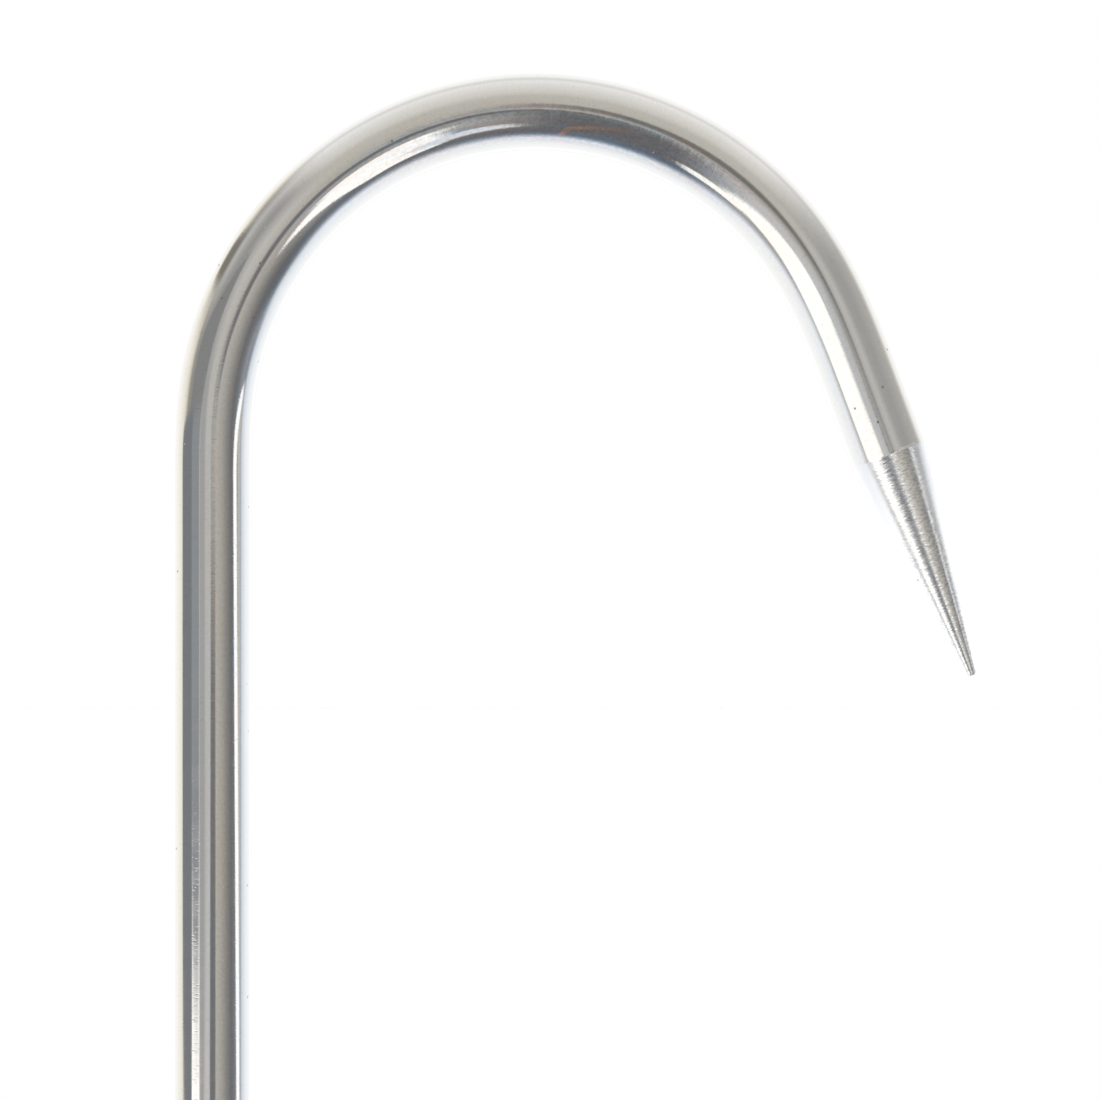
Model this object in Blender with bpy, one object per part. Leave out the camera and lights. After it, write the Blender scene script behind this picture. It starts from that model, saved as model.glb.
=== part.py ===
"""A butcher's hand hook, in metres, +Z up.

A round stainless rod is bent over into a hook with a ground point.  Its straight shank runs down
through a turned collar into a wooden cross grip, and a sleeve nut recessed in the grip's underside
draws the two together.  The hook and the grip lie in the XZ plane, the point towards +X.

The origin is the inner crest of the bend, where the hook hangs on a rail and where a load seats.
"""

import math

import bmesh
import bpy
from mathutils import Matrix, Vector

MM = 0.001

# Rod and bend.  The bend eases from straight to its full curvature and back again.
ROD_DIAMETER = 6.0 * MM
BEND_RADIUS = 24.5 * MM
BEND_ANGLE = math.radians(159.5)
LEAD_IN = 7.6 * MM
LEAD_OUT = 10.6 * MM
SHANK_LENGTH = 66.0 * MM
LEG_LENGTH = 5.8 * MM
POINT_LENGTH = 18.0 * MM
TIP_DIAMETER = 0.8 * MM
TIP_CHAMFER = 0.25 * MM
END_CHAMFER = 0.8 * MM

# Collar between shank and grip.
COLLAR_HEIGHT = 13.0 * MM
COLLAR_TOP_WALL = 1.7 * MM
COLLAR_FOOT_WALL = 3.0 * MM
COLLAR_TOP_ROUND = 0.7 * MM
COLLAR_FOOT_ROUND = 1.6 * MM
FLANGE_LEDGE = 1.9 * MM
FLANGE_THICKNESS = 2.4 * MM
FLANGE_ROUND = 0.6 * MM
COLLAR_PIN_DIAMETER = 2.0 * MM
COLLAR_PIN_HEIGHT = 8.0 * MM
COLLAR_PIN_RECESS = 0.25 * MM
PIN_CHAMFER = 0.3 * MM

# Seal and index dowel under the collar.
SEAL_THICKNESS = 0.8 * MM
SEAL_INSET = 0.4 * MM
DOWEL_DIAMETER = 2.0 * MM
DOWEL_COVER = 0.7 * MM
DOWEL_IN_GRIP = 7.0 * MM

# Grip, a turned barrel lying across the shank.
GRIP_LENGTH = 112.0 * MM
GRIP_DIAMETER = 30.0 * MM
GRIP_END_DIAMETER = 24.0 * MM
GRIP_END_ROUND = 5.0 * MM

# Sleeve nut and its washers, in the pocket under the grip.
SLEEVE_WALL = 1.3 * MM
SLEEVE_LENGTH = 10.5 * MM
SLEEVE_FLOOR = 0.6 * MM
NUT_HEAD_INSET = 0.4 * MM
NUT_HEAD_RIM = 1.5 * MM
NUT_HEAD_DOME = 1.0 * MM
NUT_SLOT_WIDTH = 1.2 * MM
NUT_SLOT_DEPTH = 1.1 * MM
WASHER_THICKNESS = 1.0 * MM
WASHER_RIM = 2.2 * MM
SPRING_THICKNESS = 1.5 * MM
SPRING_WIDTH = 1.5 * MM
SPRING_RISE = 0.2 * MM
SPRING_OPENING = math.radians(9.0)
NUT_RECESS = 0.3 * MM

# Clearances: across a fit, between seated faces, and below the rod's end and the dowel.
FIT_GAP = 0.3 * MM
SEAT_GAP = 0.3 * MM
BOTTOM_GAP = 1.0 * MM
CUTTER_OVERRUN = 2.0 * MM

# Facets.
ROD_SIDES = 32
TURNED_SIDES = 48
GRIP_SIDES = 64
BEND_STATIONS = 40
STATION_SUBSTEPS = 12
ARC_STEPS = 5
BARREL_STEPS = 12
SHARP_ANGLE = math.radians(30.0)

ROD_RADIUS = ROD_DIAMETER / 2
BORE_RADIUS = ROD_RADIUS + FIT_GAP
COLLAR_TOP_RADIUS = BORE_RADIUS + COLLAR_TOP_WALL
COLLAR_FOOT_RADIUS = BORE_RADIUS + COLLAR_FOOT_WALL
FLANGE_RADIUS = COLLAR_FOOT_RADIUS + FLANGE_LEDGE
SEAL_RADIUS = FLANGE_RADIUS - SEAL_INSET
DOWEL_RADIUS = DOWEL_DIAMETER / 2
DOWEL_OFFSET = (BORE_RADIUS + SEAL_RADIUS) / 2
DOWEL_IN_COLLAR = FLANGE_THICKNESS - DOWEL_COVER - SEAT_GAP
SLEEVE_RADIUS = BORE_RADIUS + SLEEVE_WALL
WASHER_BORE_RADIUS = SLEEVE_RADIUS + FIT_GAP
WASHER_RADIUS = WASHER_BORE_RADIUS + WASHER_RIM
NUT_HEAD_RADIUS = WASHER_RADIUS - NUT_HEAD_INSET
GRIP_RADIUS = GRIP_DIAMETER / 2
GRIP_END_RADIUS = GRIP_END_DIAMETER / 2

# Heights above the grip's axis.  The seat is cut just deep enough for a full ring of wood under the flange.
SEAT_RADIUS = FLANGE_RADIUS + FIT_GAP
SEAT_HEIGHT = math.sqrt(GRIP_RADIUS**2 - SEAT_RADIUS**2) - SEAT_GAP
SEAL_BOTTOM = SEAT_HEIGHT + SEAT_GAP
FLANGE_BOTTOM = SEAL_BOTTOM + SEAL_THICKNESS + SEAT_GAP
NUT_BOTTOM = NUT_RECESS - GRIP_RADIUS
NUT_SHOULDER = NUT_BOTTOM + NUT_HEAD_DOME + NUT_HEAD_RIM
SPRING_BOTTOM = NUT_SHOULDER + SEAT_GAP
WASHER_BOTTOM = SPRING_BOTTOM + SPRING_THICKNESS + SPRING_RISE + SEAT_GAP
POCKET_FLOOR = WASHER_BOTTOM + WASHER_THICKNESS + SEAT_GAP
SLEEVE_TOP = NUT_SHOULDER + SLEEVE_LENGTH
ROD_END = NUT_SHOULDER + SLEEVE_FLOOR + BOTTOM_GAP

ALONG_X = Matrix.Rotation(math.pi / 2, 4, "Y")
ALONG_Y = Matrix.Rotation(math.pi / 2, 4, "X")


# ---------------------------------------------------------------- the bend's path


def bend_arc_length():
    """Length of the full-curvature stretch between the two easements."""
    return BEND_RADIUS * BEND_ANGLE - (LEAD_IN + LEAD_OUT) / 2


def bend_length():
    return LEAD_IN + bend_arc_length() + LEAD_OUT


def turned_by(distance):
    """Angle that the rod has turned, from straight up towards +X, this far into the bend."""
    if distance < LEAD_IN:
        return distance**2 / (2 * BEND_RADIUS * LEAD_IN)
    past_lead_in = distance - LEAD_IN
    angle = (LEAD_IN / 2 + min(past_lead_in, bend_arc_length())) / BEND_RADIUS
    past_arc = past_lead_in - bend_arc_length()
    if past_arc > 0:
        angle += (past_arc - past_arc**2 / (2 * LEAD_OUT)) / BEND_RADIUS
    return angle


def direction(angle):
    return Vector((math.sin(angle), 0.0, math.cos(angle)))


def bend_stations():
    """Points along the bend's centreline from its start at (0, 0, 0), each with the angle turned."""
    step = bend_length() / (BEND_STATIONS * STATION_SUBSTEPS)
    point = Vector((0.0, 0.0, 0.0))
    stations = [(point.copy(), 0.0)]
    for index in range(BEND_STATIONS * STATION_SUBSTEPS):
        point += step * direction(turned_by((index + 0.5) * step))
        if (index + 1) % STATION_SUBSTEPS == 0:
            stations.append((point.copy(), turned_by((index + 1) * step)))
    return stations


def crest_of(stations):
    """The centreline point where the rod runs level, interpolated between the stations on either side."""
    level = math.pi / 2
    for (start, start_angle), (end, end_angle) in zip(stations, stations[1:]):
        if start_angle <= level < end_angle:
            return start.lerp(end, (level - start_angle) / (end_angle - start_angle))
    return max((point for point, _ in stations), key=lambda point: point.z)


BEND = bend_stations()
CREST = crest_of(BEND)
BEND_START = Vector((-CREST.x, 0.0, ROD_RADIUS - CREST.z))
GRIP_CENTRE = BEND_START - Vector((0.0, 0.0, SHANK_LENGTH + FLANGE_BOTTOM))


# ---------------------------------------------------------------- making and placing pieces


def clear_scene():
    for thing in list(bpy.data.objects):
        bpy.data.objects.remove(thing, do_unlink=True)


def material(name, colour, roughness, metallic):
    made = bpy.data.materials.new(name)
    made.use_nodes = True
    shader = made.node_tree.nodes["Principled BSDF"]
    shader.inputs["Base Color"].default_value = (*colour, 1.0)
    shader.inputs["Roughness"].default_value = roughness
    shader.inputs["Metallic"].default_value = metallic
    return made


def frame_at(name, location, parent=None):
    """An empty that pieces are placed from."""
    empty = bpy.data.objects.new(name, None)
    bpy.context.scene.collection.objects.link(empty)
    empty.parent = parent
    empty.location = location
    empty.empty_display_size = 10 * MM
    return empty


def piece(name, shape, parent, finish=None, location=(0.0, 0.0, 0.0), turn=None):
    """Puts a bmesh into the scene as an object, placed from its parent."""
    bmesh.ops.remove_doubles(shape, verts=shape.verts, dist=0.001 * MM)
    bmesh.ops.recalc_face_normals(shape, faces=shape.faces)
    mesh = bpy.data.meshes.new(name)
    shape.to_mesh(mesh)
    shape.free()
    mesh.shade_smooth()
    mesh.set_sharp_from_angle(angle=SHARP_ANGLE)
    if finish is not None:
        mesh.materials.append(finish)
    made = bpy.data.objects.new(name, mesh)
    bpy.context.scene.collection.objects.link(made)
    made.parent = parent
    made.location = location
    if turn is not None:
        made.rotation_euler = turn.to_euler()
    return made


def cut(target, name, shape, parent, location=(0.0, 0.0, 0.0), turn=None):
    """Takes the shape out of the target with a Boolean, and keeps it as a hidden cutter."""
    cutter = piece(name, shape, parent, location=location, turn=turn)
    cutter.hide_render = True
    cutter.display_type = "WIRE"
    boolean = target.modifiers.new(name, "BOOLEAN")
    boolean.operation = "DIFFERENCE"
    boolean.solver = "EXACT"
    boolean.object = cutter


def arc(centre_r, centre_z, radius, start_degrees, end_degrees, steps=ARC_STEPS):
    """Profile points (radius, height) round an arc, both ends included."""
    angles = [start_degrees + (end_degrees - start_degrees) * i / steps for i in range(steps + 1)]
    return [
        (centre_r + radius * math.cos(math.radians(a)), centre_z + radius * math.sin(math.radians(a)))
        for a in angles
    ]


def turned(profile, sides=TURNED_SIDES):
    """Spins a closed profile, or one that starts and ends on the axis, full circle about Z."""
    shape = bmesh.new()
    points = [shape.verts.new((radius, 0.0, height)) for radius, height in profile]
    edges = [shape.edges.new(pair) for pair in zip(points, points[1:])]
    if profile[0][0] > 0:
        edges.append(shape.edges.new((points[-1], points[0])))
    bmesh.ops.spin(
        shape,
        geom=points + edges,
        cent=(0, 0, 0),
        axis=(0, 0, 1),
        angle=math.tau,
        steps=sides,
        use_merge=True,
    )
    return shape


def round_bar(radius, bottom, top, chamfer=0.0, sides=TURNED_SIDES):
    """A straight round bar about Z, with both ends chamfered if asked."""
    if chamfer:
        return turned(
            [
                (0.0, bottom),
                (radius - chamfer, bottom),
                (radius, bottom + chamfer),
                (radius, top - chamfer),
                (radius - chamfer, top),
                (0.0, top),
            ],
            sides,
        )
    return turned([(0.0, bottom), (radius, bottom), (radius, top), (0.0, top)], sides)


def ring(inner, outer, bottom, top):
    return turned([(inner, bottom), (outer, bottom), (outer, top), (inner, top)])


# ---------------------------------------------------------------- the pieces


def rod_rings():
    """(centre, angle turned, radius) of every ring of the rod, from its lower end to its tip."""
    foot = Vector((0.0, 0.0, -SHANK_LENGTH + ROD_END - FLANGE_BOTTOM))
    rings = [
        (foot, 0.0, ROD_RADIUS - END_CHAMFER),
        (foot + Vector((0.0, 0.0, END_CHAMFER)), 0.0, ROD_RADIUS),
    ]
    rings += [(point, angle, ROD_RADIUS) for point, angle in BEND]
    end, angle = BEND[-1]
    along = direction(angle)
    point_base = end + LEG_LENGTH * along
    tip = point_base + POINT_LENGTH * along
    rings.append((point_base, angle, ROD_RADIUS))
    rings.append((tip - TIP_CHAMFER * along, angle, TIP_DIAMETER / 2))
    rings.append((tip, angle, TIP_DIAMETER / 2 - TIP_CHAMFER))
    return rings


def hook_rod(parent, finish):
    """The rod, lofted through rings along its shank, eased bend, leg and ground point."""
    shape = bmesh.new()
    below = None
    for centre, angle, radius in rod_rings():
        circle = bmesh.ops.create_circle(shape, cap_ends=False, segments=ROD_SIDES, radius=radius)["verts"]
        stand = Matrix.Translation(centre) @ Matrix.Rotation(angle, 4, "Y")
        bmesh.ops.transform(shape, matrix=stand, verts=circle)
        edges = list({edge for vertex in circle for edge in vertex.link_edges})
        if below is not None:
            bmesh.ops.bridge_loops(shape, edges=below + edges)
        below = edges
    bmesh.ops.holes_fill(shape, edges=shape.edges[:], sides=0)
    rod = piece("hook_rod", shape, parent, finish, location=BEND_START)
    hole = round_bar(
        COLLAR_PIN_DIAMETER / 2 + FIT_GAP, -ROD_DIAMETER, ROD_DIAMETER, sides=ROD_SIDES
    )
    height = COLLAR_PIN_HEIGHT - SHANK_LENGTH
    cut(rod, "rod_pin_hole", hole, parent, BEND_START + Vector((0.0, 0.0, height)), ALONG_Y)


def collar_radius_at(height):
    """Outer radius of the collar's tapered neck at a height above its foot."""
    share = (height - FLANGE_THICKNESS) / (COLLAR_HEIGHT - FLANGE_THICKNESS)
    return COLLAR_FOOT_RADIUS + (COLLAR_TOP_RADIUS - COLLAR_FOOT_RADIUS) * share


def bolster_collar(parent, finish):
    """A turned collar: a tapered neck with a rounded lip, flowing out into a flange."""
    foot_arc_radius = collar_radius_at(FLANGE_THICKNESS + COLLAR_FOOT_ROUND) + COLLAR_FOOT_ROUND
    profile = [(BORE_RADIUS, COLLAR_HEIGHT)]
    lip_height = COLLAR_HEIGHT - COLLAR_TOP_ROUND
    edge_height = FLANGE_THICKNESS - FLANGE_ROUND
    profile += arc(COLLAR_TOP_RADIUS - COLLAR_TOP_ROUND, lip_height, COLLAR_TOP_ROUND, 90, 0)
    profile += arc(foot_arc_radius, FLANGE_THICKNESS + COLLAR_FOOT_ROUND, COLLAR_FOOT_ROUND, 180, 270)
    profile += arc(FLANGE_RADIUS - FLANGE_ROUND, edge_height, FLANGE_ROUND, 90, 0)
    profile += [(FLANGE_RADIUS, 0.0), (BORE_RADIUS, 0.0)]
    collar = piece("bolster_collar", turned(profile), parent, finish)
    reach = 2 * COLLAR_FOOT_RADIUS
    pin_hole = round_bar(COLLAR_PIN_DIAMETER / 2 + FIT_GAP, -reach, reach, sides=ROD_SIDES)
    cut(collar, "collar_pin_hole", pin_hole, parent, (0.0, 0.0, COLLAR_PIN_HEIGHT), ALONG_Y)
    dowel_hole = round_bar(
        DOWEL_RADIUS + FIT_GAP, -CUTTER_OVERRUN, DOWEL_IN_COLLAR + SEAT_GAP, sides=ROD_SIDES
    )
    cut(collar, "collar_dowel_hole", dowel_hole, parent, (DOWEL_OFFSET, 0.0, 0.0))


def bolster_pin(parent, finish):
    """The cross pin through collar and rod, its ends just under the collar's surface."""
    half = collar_radius_at(COLLAR_PIN_HEIGHT) - COLLAR_PIN_RECESS
    shape = round_bar(COLLAR_PIN_DIAMETER / 2, -half, half, PIN_CHAMFER, sides=ROD_SIDES)
    piece("bolster_pin", shape, parent, finish, (0.0, 0.0, COLLAR_PIN_HEIGHT), ALONG_Y)


def seal_ring(parent, finish):
    """The soft ring that keeps wet out of the joint between flange and wood."""
    shape = ring(BORE_RADIUS, SEAL_RADIUS, 0.0, SEAL_THICKNESS)
    seal = piece("seal_ring", shape, parent, finish, (0.0, 0.0, SEAL_BOTTOM))
    hole = round_bar(
        DOWEL_RADIUS + FIT_GAP, -CUTTER_OVERRUN, SEAL_THICKNESS + CUTTER_OVERRUN, sides=ROD_SIDES
    )
    cut(seal, "seal_dowel_hole", hole, parent, (DOWEL_OFFSET, 0.0, SEAL_BOTTOM))


def index_dowel(parent, finish):
    """The dowel that stops the hook from turning in the grip."""
    shape = round_bar(DOWEL_RADIUS, -DOWEL_IN_GRIP, DOWEL_IN_COLLAR, PIN_CHAMFER, sides=ROD_SIDES)
    piece("index_dowel", shape, parent, finish, (DOWEL_OFFSET, 0.0, FLANGE_BOTTOM))


def barrel_profile():
    """The grip's outline from one end face to the other: a long crowned arc between rounded ends."""
    half = GRIP_LENGTH / 2
    shoulder = half - GRIP_END_ROUND
    swell = GRIP_RADIUS - GRIP_END_RADIUS
    stations = [-1 + 2 * i / BARREL_STEPS for i in range(1, BARREL_STEPS)]
    profile = [(0.0, -half)]
    profile += arc(GRIP_END_RADIUS - GRIP_END_ROUND, -shoulder, GRIP_END_ROUND, -90, 0)
    profile += [(GRIP_RADIUS - swell * station**2, shoulder * station) for station in stations]
    profile += arc(GRIP_END_RADIUS - GRIP_END_ROUND, shoulder, GRIP_END_ROUND, 0, 90)
    profile += [(0.0, half)]
    return profile


def grip(parent, finish):
    """The turned wooden grip, bored across and counterbored for the flange and for the nut."""
    barrel = piece("grip", turned(barrel_profile(), GRIP_SIDES), parent, finish, turn=ALONG_X)
    bore_top = SEAT_HEIGHT + CUTTER_OVERRUN
    sleeve_bore_top = SLEEVE_TOP + SEAT_GAP
    outside = GRIP_RADIUS + CUTTER_OVERRUN
    pocket_radius = WASHER_RADIUS + FIT_GAP
    sleeve_bore_radius = WASHER_BORE_RADIUS
    stepped_bore = turned(
        [
            (0.0, outside),
            (SEAT_RADIUS, outside),
            (SEAT_RADIUS, SEAT_HEIGHT),
            (BORE_RADIUS, SEAT_HEIGHT),
            (BORE_RADIUS, sleeve_bore_top),
            (sleeve_bore_radius, sleeve_bore_top),
            (sleeve_bore_radius, POCKET_FLOOR),
            (pocket_radius, POCKET_FLOOR),
            (pocket_radius, -outside),
            (0.0, -outside),
        ]
    )
    cut(barrel, "grip_bore", stepped_bore, parent)
    dowel_bottom = FLANGE_BOTTOM - DOWEL_IN_GRIP - BOTTOM_GAP
    dowel_hole = round_bar(DOWEL_RADIUS + FIT_GAP, dowel_bottom, bore_top, sides=ROD_SIDES)
    cut(barrel, "grip_dowel_hole", dowel_hole, parent, (DOWEL_OFFSET, 0.0, 0.0))


def rear_washer(parent, finish):
    """The flat washer that spreads the nut's pull over the pocket's floor."""
    shape = ring(WASHER_BORE_RADIUS, WASHER_RADIUS, 0.0, WASHER_THICKNESS)
    piece("rear_washer", shape, parent, finish, (0.0, 0.0, WASHER_BOTTOM))


def spring_washer(parent, finish):
    """The split washer that keeps the joint tight as the wood shrinks: a single short coil."""
    inner = WASHER_BORE_RADIUS
    outer = inner + SPRING_WIDTH
    section = [(inner, 0.0), (outer, 0.0), (outer, SPRING_THICKNESS), (inner, SPRING_THICKNESS)]
    shape = bmesh.new()
    points = [shape.verts.new((radius, 0.0, height)) for radius, height in section]
    edges = [shape.edges.new((points[i - 1], points[i])) for i in range(len(points))]
    bmesh.ops.spin(
        shape,
        geom=points + edges,
        cent=(0, 0, 0),
        axis=(0, 0, 1),
        dvec=(0, 0, SPRING_RISE / TURNED_SIDES),
        angle=math.tau - SPRING_OPENING,
        steps=TURNED_SIDES,
    )
    bmesh.ops.holes_fill(shape, edges=shape.edges[:], sides=0)
    piece("spring_washer", shape, parent, finish, (0.0, 0.0, SPRING_BOTTOM))


def sleeve_nut(parent, finish):
    """The nut: a threaded sleeve with a low domed head, slotted for a wide screwdriver."""
    dome_radius = (NUT_HEAD_RADIUS**2 + NUT_HEAD_DOME**2) / (2 * NUT_HEAD_DOME)
    half_angle = math.degrees(math.asin(NUT_HEAD_RADIUS / dome_radius))
    profile = arc(0.0, NUT_BOTTOM + dome_radius, dome_radius, -90, -90 + half_angle)
    profile[0] = (0.0, NUT_BOTTOM)
    profile += [
        (NUT_HEAD_RADIUS, NUT_SHOULDER),
        (SLEEVE_RADIUS, NUT_SHOULDER),
        (SLEEVE_RADIUS, SLEEVE_TOP),
        (BORE_RADIUS, SLEEVE_TOP),
        (BORE_RADIUS, NUT_SHOULDER + SLEEVE_FLOOR),
        (0.0, NUT_SHOULDER + SLEEVE_FLOOR),
    ]
    nut = piece("sleeve_nut", turned(profile), parent, finish)
    slot = bmesh.new()
    bmesh.ops.create_cube(slot, size=1.0)
    depth = NUT_SLOT_DEPTH + CUTTER_OVERRUN
    bmesh.ops.scale(slot, vec=(4 * NUT_HEAD_RADIUS, NUT_SLOT_WIDTH, depth), verts=slot.verts)
    cut(nut, "nut_slot", slot, parent, (0.0, 0.0, NUT_BOTTOM + NUT_SLOT_DEPTH - depth / 2))


def build():
    clear_scene()
    polished = material("polished stainless steel", (0.62, 0.61, 0.59), 0.08, 1.0)
    satin = material("satin stainless steel", (0.58, 0.57, 0.56), 0.28, 1.0)
    bright = material("bright drawn steel", (0.55, 0.55, 0.54), 0.35, 1.0)
    beech = material("oiled beech", (0.62, 0.40, 0.22), 0.5, 0.0)
    rubber = material("black food-grade rubber", (0.03, 0.03, 0.03), 0.7, 0.0)

    bend_seat = frame_at("bend_seat", (0.0, 0.0, 0.0))
    grip_centre = frame_at("grip_centre", GRIP_CENTRE, bend_seat)
    collar_foot = frame_at("collar_foot", (0.0, 0.0, FLANGE_BOTTOM), grip_centre)

    hook_rod(bend_seat, polished)
    bolster_collar(collar_foot, satin)
    bolster_pin(collar_foot, bright)
    seal_ring(grip_centre, rubber)
    index_dowel(grip_centre, bright)
    grip(grip_centre, beech)
    rear_washer(grip_centre, bright)
    spring_washer(grip_centre, bright)
    sleeve_nut(grip_centre, satin)


build()
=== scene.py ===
import math
import random

import bmesh
import bpy
from mathutils import Matrix, Vector


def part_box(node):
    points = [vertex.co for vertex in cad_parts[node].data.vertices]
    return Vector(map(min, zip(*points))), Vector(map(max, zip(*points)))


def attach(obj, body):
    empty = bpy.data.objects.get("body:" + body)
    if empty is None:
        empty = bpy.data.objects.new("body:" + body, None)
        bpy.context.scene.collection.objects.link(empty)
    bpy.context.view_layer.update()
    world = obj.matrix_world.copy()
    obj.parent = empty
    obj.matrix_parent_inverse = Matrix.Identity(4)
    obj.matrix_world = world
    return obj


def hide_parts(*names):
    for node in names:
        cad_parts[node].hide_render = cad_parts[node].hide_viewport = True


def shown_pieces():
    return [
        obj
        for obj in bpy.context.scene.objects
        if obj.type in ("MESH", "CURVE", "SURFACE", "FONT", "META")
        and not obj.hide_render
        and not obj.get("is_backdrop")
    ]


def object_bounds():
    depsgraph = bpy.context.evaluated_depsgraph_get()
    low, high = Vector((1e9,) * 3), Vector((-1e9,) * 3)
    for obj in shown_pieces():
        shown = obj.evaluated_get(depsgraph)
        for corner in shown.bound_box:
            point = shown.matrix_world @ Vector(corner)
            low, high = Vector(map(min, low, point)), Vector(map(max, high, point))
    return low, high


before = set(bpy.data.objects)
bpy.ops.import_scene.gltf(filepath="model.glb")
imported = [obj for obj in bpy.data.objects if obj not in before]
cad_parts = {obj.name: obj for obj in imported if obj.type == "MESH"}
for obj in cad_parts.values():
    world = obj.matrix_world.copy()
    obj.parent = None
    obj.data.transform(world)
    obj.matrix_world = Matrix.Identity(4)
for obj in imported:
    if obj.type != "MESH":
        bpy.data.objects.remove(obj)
cad_low, cad_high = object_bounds()
scene = bpy.context.scene

# ---------------------------------------------------------------- camera and studio
# A long lens square to the hook's plane, close on the bend and the point: the view runs from just
# above the bend down to the shank, and leaves the grip below.  All sizes are in metres.

rod_low, rod_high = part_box("hook_rod")
collar_low, collar_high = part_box("bolster_collar")
ROD_RADIUS = (rod_high.y - rod_low.y) / 2
SHANK_X = (collar_low.x + collar_high.x) / 2
CAMERA_LENS_MM = 200.0
SENSOR_MM = 36.0
VIEW_WIDTH = 13.97 * 2 * ROD_RADIUS
VIEW_CENTRE = Vector((SHANK_X + 8.58 * ROD_RADIUS, 0.0, rod_high.z - 12.17 * ROD_RADIUS))
BACKDROP = (1.0, 1.0, 1.0, 1.0)
PANEL_SQUARENESS = 4.0
FLOOR_COLOUR = (0.885, 0.90, 0.945, 1.0)
FLOOR_ROUGHNESS = 0.8
FLOOR_DROP = 0.0006
FLOOR_SIZE = 6.0


def make_camera():
    lens = bpy.data.cameras.new("product camera")
    lens.lens = CAMERA_LENS_MM
    lens.sensor_width = SENSOR_MM
    camera = bpy.data.objects.new("product camera", lens)
    scene.collection.objects.link(camera)
    distance = VIEW_WIDTH * CAMERA_LENS_MM / SENSOR_MM
    camera.location = VIEW_CENTRE - Vector((0.0, distance, 0.0))
    camera.rotation_euler = (math.pi / 2, 0.0, 0.0)
    lens.clip_start = distance * 0.05
    lens.clip_end = distance * 50
    scene.camera = camera


def new_group(name, inputs, output):
    """A node group that works out one value; gives its tree, its inputs and the socket for the result."""
    tree = bpy.data.node_groups.new(name, "ShaderNodeTree")
    for socket in inputs:
        kind = "NodeSocketVector" if socket == "Vector" else "NodeSocketFloat"
        tree.interface.new_socket(socket, in_out="INPUT", socket_type=kind)
    tree.interface.new_socket(output, in_out="OUTPUT", socket_type="NodeSocketFloat")
    return tree, tree.nodes.new("NodeGroupInput").outputs, tree.nodes.new("NodeGroupOutput").inputs[output]


def plug(tree, socket, value):
    """Links another socket into this one, or sets it to a plain value."""
    if isinstance(value, bpy.types.NodeSocket):
        tree.links.new(value, socket)
    else:
        socket.default_value = value


def maths(tree, operation, *values, clamp=False):
    node = tree.nodes.new("ShaderNodeMath")
    node.operation = operation
    node.use_clamp = clamp
    for socket, value in zip(node.inputs, values):
        plug(tree, socket, value)
    return node.outputs[0]


def times(tree, product, *factors):
    for factor in factors:
        product = maths(tree, "MULTIPLY", product, factor)
    return product


def smooth_range(tree, value, low, high, to_low=0.0, to_high=1.0):
    """Eases from to_low to to_high while the value goes from low to high."""
    node = tree.nodes.new("ShaderNodeMapRange")
    node.interpolation_type = "SMOOTHSTEP"
    settings = zip(("Value", "From Min", "From Max", "To Min", "To Max"), (value, low, high, to_low, to_high))
    for name, setting in settings:
        plug(tree, node.inputs[name], setting)
    return node.outputs["Result"]


def fade_out(tree, value, start, end):
    """1 before the start, 0 past the end."""
    return smooth_range(tree, value, start, end, 1.0, 0.0)


def mix_colour(tree, share, first, second):
    node = tree.nodes.new("ShaderNodeMix")
    node.data_type = "RGBA"
    for socket, value in zip((node.inputs[0], node.inputs[6], node.inputs[7]), (share, first, second)):
        plug(tree, socket, value)
    return node.outputs[2]


def split_xyz(tree, vector):
    split = tree.nodes.new("ShaderNodeSeparateXYZ")
    plug(tree, split.inputs[0], vector)
    return split.outputs


def effect(tree, group, *values):
    """Uses a node group, its inputs given in order."""
    node = tree.nodes.new("ShaderNodeGroup")
    node.node_tree = group
    for socket, value in zip(node.inputs, values):
        plug(tree, socket, value)
    return node.outputs[0]


def light_panel_group():
    """One softly edged panel, a rounded oblong on a flat map of the studio seen from the hook, in degrees."""
    tree, value, result = new_group(
        "light panel",
        ("Across", "Down", "Centre Across", "Centre Down", "Half Length", "Half Width", "Turn", "Softness"),
        "Mask",
    )
    across = maths(tree, "SUBTRACT", value["Across"], value["Centre Across"])
    down = maths(tree, "SUBTRACT", value["Down"], value["Centre Down"])
    turn = maths(tree, "RADIANS", value["Turn"])
    sine, cosine = maths(tree, "SINE", turn), maths(tree, "COSINE", turn)
    along = maths(tree, "ADD", times(tree, across, sine), times(tree, down, cosine))
    aside = maths(tree, "SUBTRACT", times(tree, across, cosine), times(tree, down, sine))
    along = maths(tree, "DIVIDE", maths(tree, "ABSOLUTE", along), value["Half Length"])
    aside = maths(tree, "DIVIDE", maths(tree, "ABSOLUTE", aside), value["Half Width"])
    both = maths(
        tree, "ADD", maths(tree, "POWER", along, PANEL_SQUARENESS), maths(tree, "POWER", aside, PANEL_SQUARENESS)
    )
    reach = maths(tree, "POWER", both, 1 / PANEL_SQUARENESS)
    inner = maths(tree, "SUBTRACT", 1.0, value["Softness"])
    outer = maths(tree, "ADD", 1.0, value["Softness"])
    plug(tree, result, fade_out(tree, reach, inner, outer))
    return tree


def tone(level, cast=0.0):
    """A light of this level, cast towards violet blue above 0 and towards olive below."""
    return (level * (1 - 1.1 * cast), level * (1 - min(cast, 0.0) / 4), level * (1 + 1.5 * cast), 1.0)


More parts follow.
